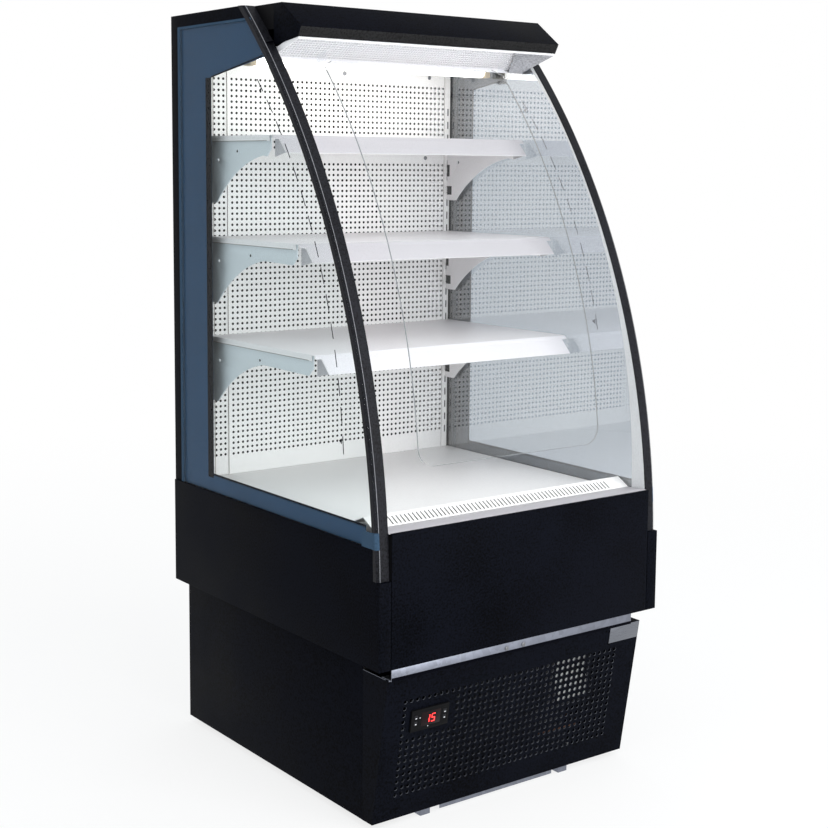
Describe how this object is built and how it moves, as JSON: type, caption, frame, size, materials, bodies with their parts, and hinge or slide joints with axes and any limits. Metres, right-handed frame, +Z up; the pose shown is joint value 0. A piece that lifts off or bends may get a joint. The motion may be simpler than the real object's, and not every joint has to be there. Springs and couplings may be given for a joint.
{
  "type": "open multideck display fridge",
  "caption": "Narrow open multideck display fridge: curved glazed sides, perforated rear air wall, bracketed shelves, clear swing-up front screen and a grilled machine base.",
  "frame": {"origin": "on the floor at the middle of the outer box", "axes": "+Z up, the open front faces -Y, +X is to the right as the buyer faces it"},
  "size_m": [0.6, 0.654, 1.316],
  "materials": {
    "black_paint": "fine textured black powder coat",
    "white_liner": "smooth white coated sheet",
    "galvanised": "bare galvanised sheet with soft spangle",
    "clear_glass": "clear float glass",
    "printed_border": "slate-blue print behind glass",
    "pale_profile": "pale grey extruded strip",
    "clear_screen": "clear rigid sheet",
    "honeycomb": "white cellular plastic",
    "lamp_diffuser": "milky lamp tube",
    "lamp_cap": "cream moulded plastic",
    "cabinet_skin": "galvanised skin over foam",
    "controller_plastic": "fine grained black plastic",
    "controller_lens": "dark red window",
    "key_rubber": "soft matt key",
    "compressor_paint": "semi-gloss black",
    "coil_fins": "thin aluminium fins",
    "fan_plastic": "black moulded plastic",
    "bare_aluminium": "satin anodised",
    "box_plastic": "white moulded plastic",
    "pan_plastic": "grey moulded plastic",
    "copper": "drawn copper tube",
    "screw_steel": "zinc plated",
    "foot_plastic": "hard black plastic"
  },
  "bodies": {
    "cabinet": {"air_wall_main": "white_liner", "air_wall_strip": "white_liner", "back_panel": "galvanised", "base_back_panel": "galvanised", "base_side_left": "black_paint", "base_side_right": "black_paint", "blank_plate": "bare_aluminium", "brackets_bottom": "white_liner", "brackets_middle": "white_liner", "brackets_top": "white_liner", "cable_gland": "foot_plastic", "canopy_cover": "black_paint", "ceiling_liner": "white_liner", "compressor": "compressor_paint", "condensate_tray": "pan_plastic", "condenser": "coil_fins", "condenser_fan_mount": "galvanised", "controller_case": "controller_plastic", "controller_window": "controller_lens", "deck": "white_liner", "edge_strips": "pale_profile", "electric_box": "box_plastic", "evaporator": "coil_fins", "evaporator_fan_mount": "galvanised", "feet": "foot_plastic", "foamed_body": "cabinet_skin", "front_grille": "black_paint", "front_ledge": "white_liner", "front_panel": "black_paint", "front_rail": "galvanised", "glazing_frames": "printed_border", "honeycomb_outlet": "honeycomb", "lamp_holders": "lamp_cap", "lamp_tube": "lamp_diffuser", "pipework": "copper", "return_grille": "white_liner", "screen_hangers": "bare_aluminium", "screws": "screw_steel", "shelf_bottom": "white_liner", "shelf_middle": "white_liner", "shelf_top": "white_liner", "side_glass_left": "clear_glass", "side_glass_right": "clear_glass", "side_rail_left": "black_paint", "side_rail_right": "black_paint", "side_skirt_left": "black_paint", "side_skirt_right": "black_paint", "side_trim_left": "black_paint", "side_trim_right": "black_paint", "top_panel": "black_paint", "unit_tray": "galvanised", "uprights": "white_liner"},
    "front_screen": {"front_screen": "clear_screen", "screen_clips": "bare_aluminium"},
    "condenser_fan": {"condenser_fan": "fan_plastic"},
    "evaporator_fan": {"evaporator_fan": "fan_plastic"},
    "key_1": {"controller_key_1": "key_rubber"},
    "key_2": {"controller_key_2": "key_rubber"},
    "key_3": {"controller_key_3": "key_rubber"},
    "key_4": {"controller_key_4": "key_rubber"}
  },
  "joints": [
    {"name": "screen_hinge", "type": "hinge", "parent": "cabinet", "child": "front_screen", "pos_m": [0, -0.01015, 1.214], "axis": [-1, 0, 0], "range_deg": [0, 60]},
    {"name": "condenser_fan_spin", "type": "hinge", "parent": "cabinet", "child": "condenser_fan", "pos_m": [-0.05, -0.1967, 0.1375], "axis": [0, 1, 0], "continuous": true},
    {"name": "evaporator_fan_spin", "type": "hinge", "parent": "cabinet", "child": "evaporator_fan", "pos_m": [0, -0.112, 0.398], "axis": [0, 1, 0], "continuous": true},
    {"name": "key_1_press", "type": "slide", "parent": "cabinet", "child": "key_1", "axis": [0, 0.9873, 0.159], "range_m": [0, 0.0008], "stiffness_N_per_m": 600, "springref_m": -0.0004},
    {"name": "key_2_press", "type": "slide", "parent": "cabinet", "child": "key_2", "axis": [0, 0.9873, 0.159], "range_m": [0, 0.0008], "stiffness_N_per_m": 600, "springref_m": -0.0004},
    {"name": "key_3_press", "type": "slide", "parent": "cabinet", "child": "key_3", "axis": [0, 0.9873, 0.159], "range_m": [0, 0.0008], "stiffness_N_per_m": 600, "springref_m": -0.0004},
    {"name": "key_4_press", "type": "slide", "parent": "cabinet", "child": "key_4", "axis": [0, 0.9873, 0.159], "range_m": [0, 0.0008], "stiffness_N_per_m": 600, "springref_m": -0.0004}
  ]
}
